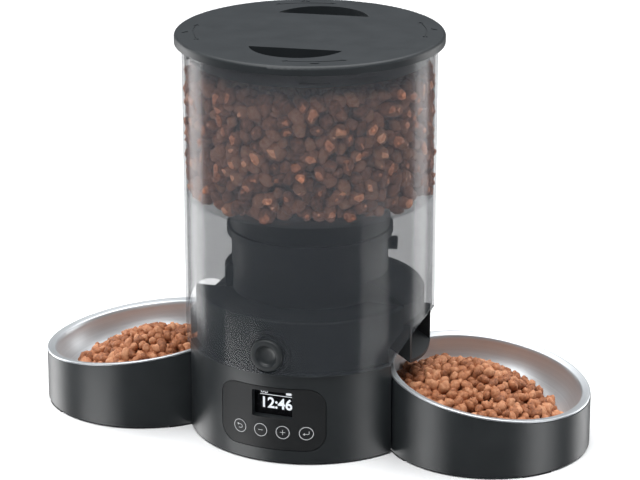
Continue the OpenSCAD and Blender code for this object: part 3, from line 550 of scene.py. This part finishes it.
def baked_nugget(name, dark, middle, light):
    """Baked crumb: each nugget has its own shade, with darker pits and a rough skin."""
    made, tree, shader, place = new_material(name)
    own = tree.nodes.new("ShaderNodeAttribute")
    own.attribute_name = "bake"
    crumb = grain(tree, place, 420, 4)
    mixed = tree.nodes.new("ShaderNodeMath")
    mixed.operation = "MULTIPLY_ADD"
    mixed.inputs[1].default_value = 0.55
    tree.links.new(own.outputs["Fac"], mixed.inputs[0])
    tree.links.new(spread(tree, crumb, 0.0, 0.45), mixed.inputs[2])
    ramp = tree.nodes.new("ShaderNodeValToRGB")
    ramp.color_ramp.elements[0].position = 0.08
    ramp.color_ramp.elements[0].color = (*dark, 1)
    ramp.color_ramp.elements[1].position = 0.92
    ramp.color_ramp.elements[1].color = (*light, 1)
    ramp.color_ramp.elements.new(0.5).color = (*middle, 1)
    tree.links.new(mixed.outputs["Value"], ramp.inputs["Fac"])
    tree.links.new(ramp.outputs["Color"], shader.inputs["Base Color"])
    shader.inputs["Roughness"].default_value = 0.62
    shader.inputs["Specular IOR Level"].default_value = 0.35
    bump(tree, shader, grain(tree, place, 700, 5), 0.55, 0.0009)
    return made


def pour_food(name, verts, faces, spacing, sizes, uneven, finish, seed):
    """Covers a surface with nuggets and returns them as one plain mesh."""
    surface = bpy.data.meshes.new(name)
    surface.from_pydata(verts, [], faces)
    piece = bpy.data.objects.new(name, surface)
    scene.collection.objects.link(piece)
    pouring = piece.modifiers.new("pour", "NODES")
    pouring.node_group = pour
    for label, value in (("Nuggets", nugget_shapes), ("Spacing", spacing), ("Smallest", sizes[0]),
                         ("Largest", sizes[1]), ("Unevenness", uneven), ("Finish", finish), ("Seed", seed)):
        pouring[pour_inputs[label].identifier] = value
    evaluated = piece.evaluated_get(bpy.context.evaluated_depsgraph_get())
    food = bpy.data.meshes.new_from_object(evaluated)
    piece.modifiers.clear()
    piece.data = food
    return piece


def grid_faces(rows, columns, closed):
    """Quads over a grid of rows, closed round each row or open."""
    across = columns if closed else columns - 1
    return [(r * columns + c, r * columns + (c + 1) % columns,
             (r + 1) * columns + (c + 1) % columns, (r + 1) * columns + c)
            for r in range(rows - 1) for c in range(across)]


bowl_food = baked_nugget("bowl_food", (0.17, 0.055, 0.022), (0.42, 0.165, 0.075), (0.62, 0.31, 0.17))
bowl_nugget = (0.0062, 0.0098)
bowl_spacing = 0.0052
heap_slope = 0.48
heap_rough = 0.0022
peak_round = 0.014
wall_gap = 0.004
bed_gap = 0.0022


def bowl_height(reach):
    """Height of the bowl's inner face at a distance from its axis."""
    middle = inside_r - corner_r
    if reach <= middle:
        return -bowl_deep
    share = min(1.0, (reach - middle) / corner_r)
    return -bowl_deep * math.sqrt(max(0.0, 1 - share * share))


def heap(side, peak, top, slope, sink):
    """Points and faces of a heap that leans on the bowl, a layer below its surface by sink."""
    step = 0.003
    count = int(2 * inside_r / step) + 1
    place = rim_place(side)
    verts, inside = [], []
    for row in range(count):
        for column in range(count):
            x, y = -inside_r + column * step, -inside_r + row * step
            away = math.hypot(x - peak[0], y - peak[1])
            height = top - slope * (math.hypot(away, peak_round) - peak_round) - sink
            height += heap_rough * noise.noise(Vector((x, y, side)) * 55)
            verts.append(place @ Vector((x, y, height)))
            reach = math.hypot(x, y)
            inside.append(reach < inside_r - wall_gap and height > bowl_height(reach) + bed_gap)
    faces = [f for f in grid_faces(count, count, False) if all(inside[i] for i in f)]
    return verts, faces


for side, word, peak, top in ((1, "right", (-0.012, -0.004), 0.0045), (-1, "left", (0.004, -0.004), 0.002)):
    for layer, sink in enumerate((0.0, 0.0042, 0.009)):
        verts, faces = heap(side, peak, top, heap_slope, sink)
        food = pour_food(f"food_{word}_{layer + 1}", verts, faces, bowl_spacing, bowl_nugget,
                         0.0012, bowl_food, 20 + layer + 10 * side)
        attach(food, f"{word}_bowl")

# The hopper's food, seen through the smoked wall, is a little larger and less orange.
hopper_food = baked_nugget("hopper_food", (0.16, 0.06, 0.035), (0.42, 0.17, 0.1), (0.62, 0.32, 0.2))
hopper_nugget = (0.0088, 0.0128)
hopper_spacing = 0.0072
behind_gap = 0.007
floor_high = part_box("hopper_floor")[1]
lid_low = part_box("lid")[0]
tank_in = floor_high.x
food_r = tank_in - 0.0052
food_low = floor_high.z + 0.0045
food_high = lid_low.z - 0.0105


def round_wall(radius, low, high, rows=12, columns=72):
    """A round wall of the hopper's food."""
    heights = [low + (high - low) * r / (rows - 1) for r in range(rows)]
    turn = [2 * math.pi * c / columns for c in range(columns)]
    verts = [(radius * math.cos(a), radius * math.sin(a), z) for z in heights for a in turn]
    return verts, grid_faces(rows, columns, True)


def round_top(radius, height, rows=8, columns=72):
    """The food's slightly mounded top."""
    turn = [2 * math.pi * c / columns for c in range(columns)]
    verts = []
    for row in range(rows):
        reach = radius * (1 - row / rows) + 0.0001
        rise = 0.002 * (1 - (reach / radius) ** 2)
        verts += [(reach * math.cos(a), reach * math.sin(a), height + rise) for a in turn]
    return verts, grid_faces(rows, columns, True)


for name, shape, uneven, seed in (
        ("food_hopper_wall", round_wall(food_r, food_low, food_high), 0.0008, 5),
        ("food_hopper_behind", round_wall(food_r - behind_gap, food_low, food_high), 0.002, 6),
        ("food_hopper_top", round_top(food_r, food_high), 0.0012, 7)):
    food = pour_food(name, *shape, hopper_spacing, hopper_nugget, uneven, hopper_food, seed)
    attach(food, "hopper")

core_r = food_r - 0.0105
core_high = food_high - 0.004
core_profile = [(0, food_low), (core_r, food_low), (core_r, core_high), (0, core_high)]
core_food = turned("food_hopper_middle", core_profile, 64, Matrix.Identity(4))
core_food.data.materials.append(hopper_food)
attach(core_food, "hopper")

# ---------------------------------------------------------------------------
# The screen: a black panel behind the window, lit in white with the time, a
# line, two status signs and a battery. All of it lies on the module's face.
# ---------------------------------------------------------------------------
dress(moulded_plastic("screen_black", (0.003, 0.003, 0.004), 0.12), "display_module")

lit_white, tree, shader, place = new_material("lit_white")
shader.inputs["Base Color"].default_value = (0.75, 0.78, 0.8, 1)
shader.inputs["Emission Color"].default_value = (0.92, 0.96, 1.0, 1)
shader.inputs["Emission Strength"].default_value = 0.75
tree.links.new(spread(tree, grain(tree, place, 900), 0.4, 0.6), shader.inputs["Roughness"])

ink = 0.00004
picture_shift = 0.0009
screen_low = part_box("display_module")[0]
lens_low, lens_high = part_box("display_lens")
window_x = (lens_low.x + lens_high.x) / 2
window_z = (lens_low.z + lens_high.z) / 2
print_y = screen_low.y - ink
screen_x = window_x + picture_shift


def ribbon(points, width):
    """Quads along a line of points, each as wide as width."""
    verts, faces = [], []
    for i, point in enumerate(points):
        before, after = points[max(i - 1, 0)], points[min(i + 1, len(points) - 1)]
        run = Vector((after[0] - before[0], after[1] - before[1])).normalized()
        for hand in (-0.5, 0.5):
            verts.append((point[0] - run.y * width * hand, point[1] + run.x * width * hand))
        if i:
            faces.append((2 * i - 2, 2 * i, 2 * i + 1, 2 * i - 1))
    return verts, faces


def print_on(name, strokes, lay, material, body):
    """Joins flat strokes into one printed mesh, laid on a surface by a function of x and z."""
    verts, faces = [], []
    for stroke_verts, stroke_faces in strokes:
        start = len(verts)
        verts += [lay(x, z) for x, z in stroke_verts]
        faces += [[start + i for i in face] for face in stroke_faces]
    form = bmesh.new()
    made = [form.verts.new(v) for v in verts]
    for face in faces:
        form.faces.new([made[i] for i in face])
    for face in form.faces:
        face.normal_update()
        if face.normal.y > 0:
            face.normal_flip()
    mesh = bpy.data.meshes.new(name)
    form.to_mesh(mesh)
    form.free()
    mesh.materials.append(material)
    piece = bpy.data.objects.new(name, mesh)
    scene.collection.objects.link(piece)
    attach(piece, body)
    return piece


def on_screen(x, z):
    """A point of the screen's picture, in millimetres from its middle."""
    return (screen_x + x / 1000, print_y, window_z + z / 1000)


def block(x0, z0, x1, z1):
    """A filled rectangle."""
    return [(x0, z0), (x1, z0), (x1, z1), (x0, z1)], [(0, 1, 2, 3)]


def hoop(cx, cz, radius, width, steps=28):
    """A closed ring."""
    return ribbon(arc(cx, cz, radius, 0, 360, steps), width)


signs = [block(-12.8, 4.3, 12.8, 4.75)]
signs += [hoop(-11.0, 6.7, 0.95, 0.5, 16), hoop(-8.0, 6.5, 1.0, 0.5, 16), block(-8.2, 7.4, -7.8, 8.1)]
signs += [block(7.6, 5.7, 11.8, 7.7), block(12.0, 6.3, 12.5, 7.1)]
print_on("screen_signs", signs, on_screen, lit_white, "root")

clock_wide, clock_tall, clock_drop = 0.0232, 0.0088, 0.0022
clock_text = bpy.data.curves.new("clock", "FONT")
clock_text.body = "12:46"
clock_text.align_x, clock_text.align_y = "CENTER", "CENTER"
clock_text.size = 0.0112
clock_text.offset = 0.00028
clock_shape = bpy.data.objects.new("clock_shape", clock_text)
scene.collection.objects.link(clock_shape)
clock_mesh = bpy.data.meshes.new_from_object(
    clock_shape.evaluated_get(bpy.context.evaluated_depsgraph_get()))
bpy.data.objects.remove(clock_shape)
clock_width = max(v.co.x for v in clock_mesh.vertices) - min(v.co.x for v in clock_mesh.vertices)
clock_high = max(v.co.y for v in clock_mesh.vertices) - min(v.co.y for v in clock_mesh.vertices)
clock_mesh.transform(Matrix.Diagonal((clock_wide / clock_width, clock_tall / clock_high, 1, 1)))
clock_mesh.transform(Matrix.Rotation(math.radians(90), 4, "X"))
clock_mesh.transform(Matrix.Translation((screen_x, print_y, window_z - clock_drop)))
clock_mesh.materials.clear()
clock_mesh.materials.append(lit_white)
clock = bpy.data.objects.new("screen_clock", clock_mesh)
scene.collection.objects.link(clock)
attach(clock, "root")

# ---------------------------------------------------------------------------
# The key signs: pad-printed in white on the four key caps, a ring round each
# and a sign in it: go back, less, more and enter.
# ---------------------------------------------------------------------------
white_ink, tree, shader, place = new_material("white_ink")
tint(tree, grain(tree, place, 1500), (0.52, 0.53, 0.54), (0.62, 0.63, 0.64), shader)
shader.inputs["Roughness"].default_value = 0.5

key_signs = {
    "back": [ribbon([(-1.3, 1.2), (0.4, 1.2)] + arc(0.5, -0.2, 1.4, 90, -90, 12) + [(-1.2, -1.6)], 0.42),
             ([(-2.5, 1.2), (-1.0, 0.2), (-1.0, 2.2)], [(0, 1, 2)])],
    "minus": [block(-1.9, -0.2, 1.9, 0.2)],
    "plus": [block(-2.0, -0.2, 2.0, 0.2), block(-0.2, 0.2, 0.2, 2.0), block(-0.2, -2.0, 0.2, -0.2)],
    "enter": [ribbon([(2.0, 1.7), (2.0, 0.2)] + arc(1.2, 0.1, 0.8, 0, -90, 6) + [(-1.2, -0.7)], 0.42),
              ([(-2.5, -0.7), (-1.0, -1.7), (-1.0, 0.3)], [(0, 1, 2)])],
}
for word, sign in key_signs.items():
    key_low, key_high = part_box(f"key_{word}")
    middle = (key_low + key_high) / 2
    drum = max(math.hypot(v.co.x, v.co.y) for v in nodes[f"key_{word}"].data.vertices) + ink

    def on_key(x, z, middle=middle, drum=drum):
        """A point of the key's sign, in millimetres from its middle, on the curved cap."""
        across = middle.x + x / 1000
        return (across, -math.sqrt(drum * drum - across * across), middle.z + z / 1000)

    strokes = [hoop(0, 0, 4.95, 0.5, 48)] + sign
    print_on(f"key_sign_{word}", strokes, on_key, white_ink, f"key_{word}_cap")
